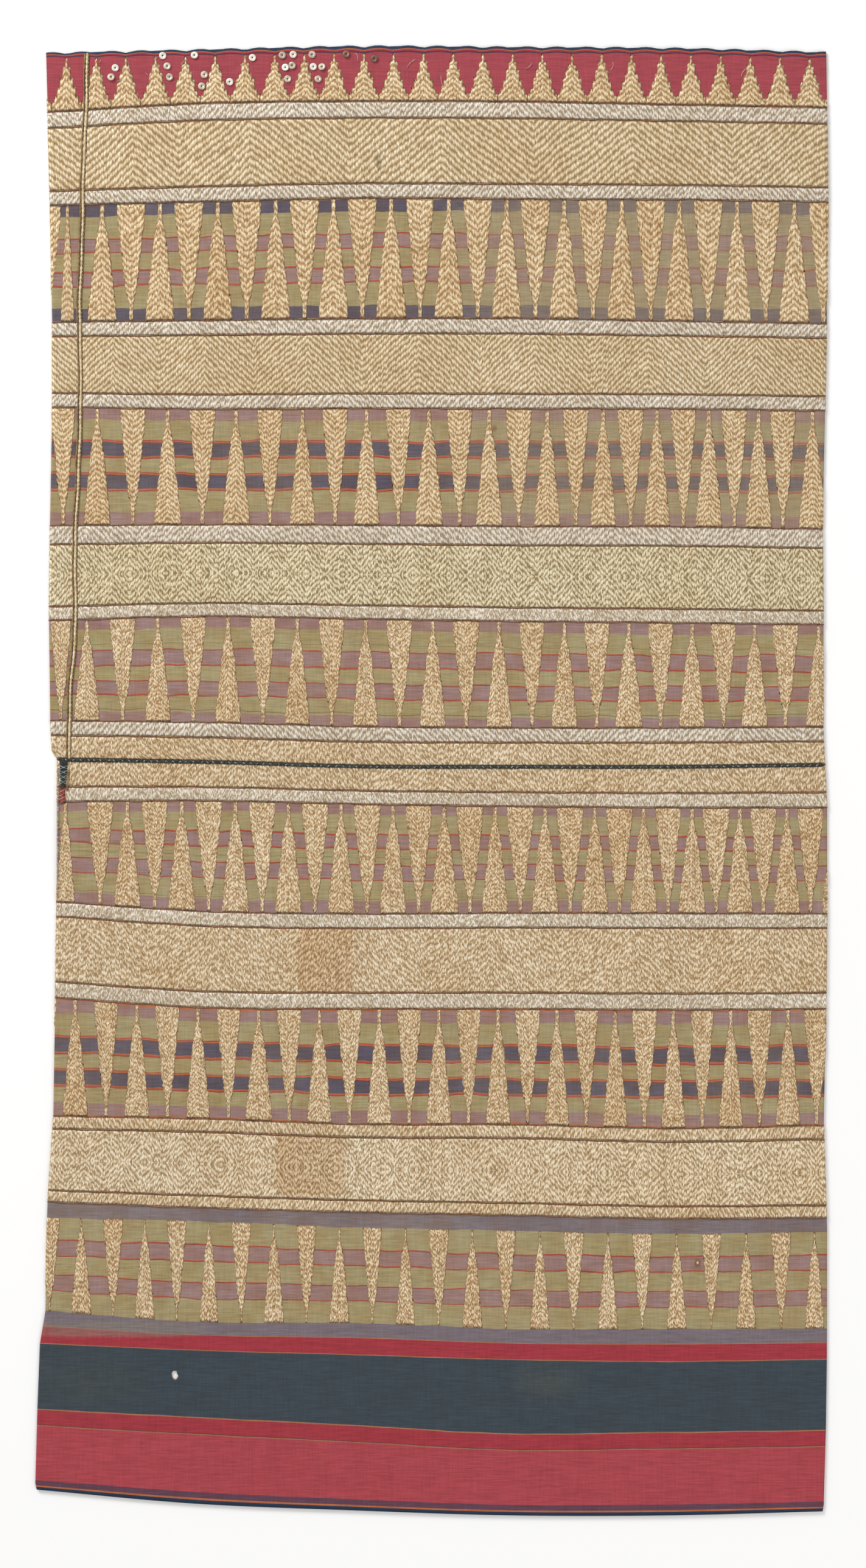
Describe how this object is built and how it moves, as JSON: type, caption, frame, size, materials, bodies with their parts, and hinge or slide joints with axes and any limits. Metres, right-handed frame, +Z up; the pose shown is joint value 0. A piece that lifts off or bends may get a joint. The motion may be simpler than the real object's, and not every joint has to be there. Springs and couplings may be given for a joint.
{
  "type": "tube skirt",
  "caption": "Flat-laid tube skirt of two joined loom widths, striped cloth with raised couched metal-thread bands and triangle rows.",
  "frame": {"origin": "under the middle of the skirt's bounding box, on the surface it lies on", "axes": "+X to the viewer's right across the front, +Y from hem to waist, +Z up out of the surface"},
  "size_m": [0.6594, 1.2224, 0.0046],
  "materials": {
    "upper_cloth": "striped cotton and silk under couched gold and silver thread",
    "lower_cloth": "striped cotton and silk under couched gold and silver thread, plain red and teal at the hem",
    "gold_thread": "gilt metal thread, worn satin"
  },
  "bodies": {
    "root": {"upper_panel": "upper_cloth", "lower_panel": "lower_cloth", "seam_cords": "gold_thread"}
  },
  "joints": []
}
